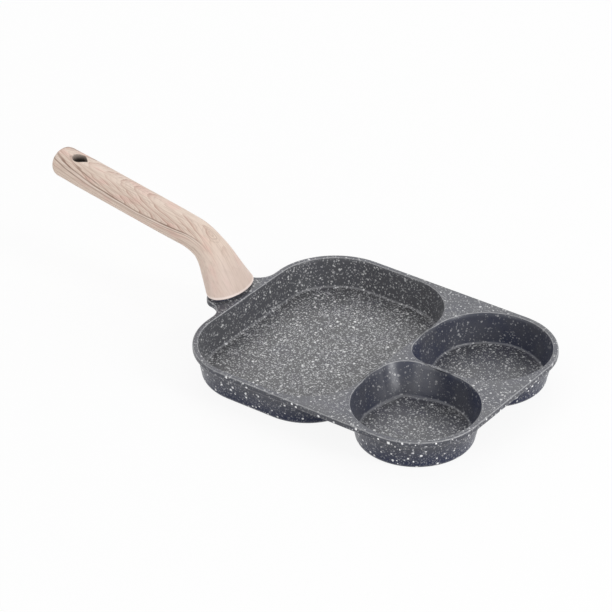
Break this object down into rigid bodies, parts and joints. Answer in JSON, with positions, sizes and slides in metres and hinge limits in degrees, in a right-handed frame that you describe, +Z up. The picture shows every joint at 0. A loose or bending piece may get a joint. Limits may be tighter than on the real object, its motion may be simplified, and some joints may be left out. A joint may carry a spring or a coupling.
{
  "type": "divided frying pan",
  "caption": "Cast non-stick frying pan with a large rounded compartment beside smaller round cups, and a bent wood-look handle with a drop-shaped hanging hole.",
  "frame": {"origin": "on the table, under the middle of the top plate", "axes": "+X along the pan towards the two cups, with the handle towards -X; +Y across the pan; +Z up"},
  "size_m": [0.4258, 0.2, 0.0983],
  "materials": {
    "coating": "dark grey non-stick coating with fine pale stone-like specks on cast aluminium",
    "wood_look": "moulded heat-resistant plastic with a pale beech wood print, satin",
    "brass": "plain turned brass",
    "steel": "zinc-plated steel"
  },
  "bodies": {
    "root": {"pan_body": "coating", "handle": "wood_look", "threaded_insert": "brass", "handle_screw": "steel", "lock_washer": "steel", "flat_washer": "steel"}
  },
  "joints": []
}
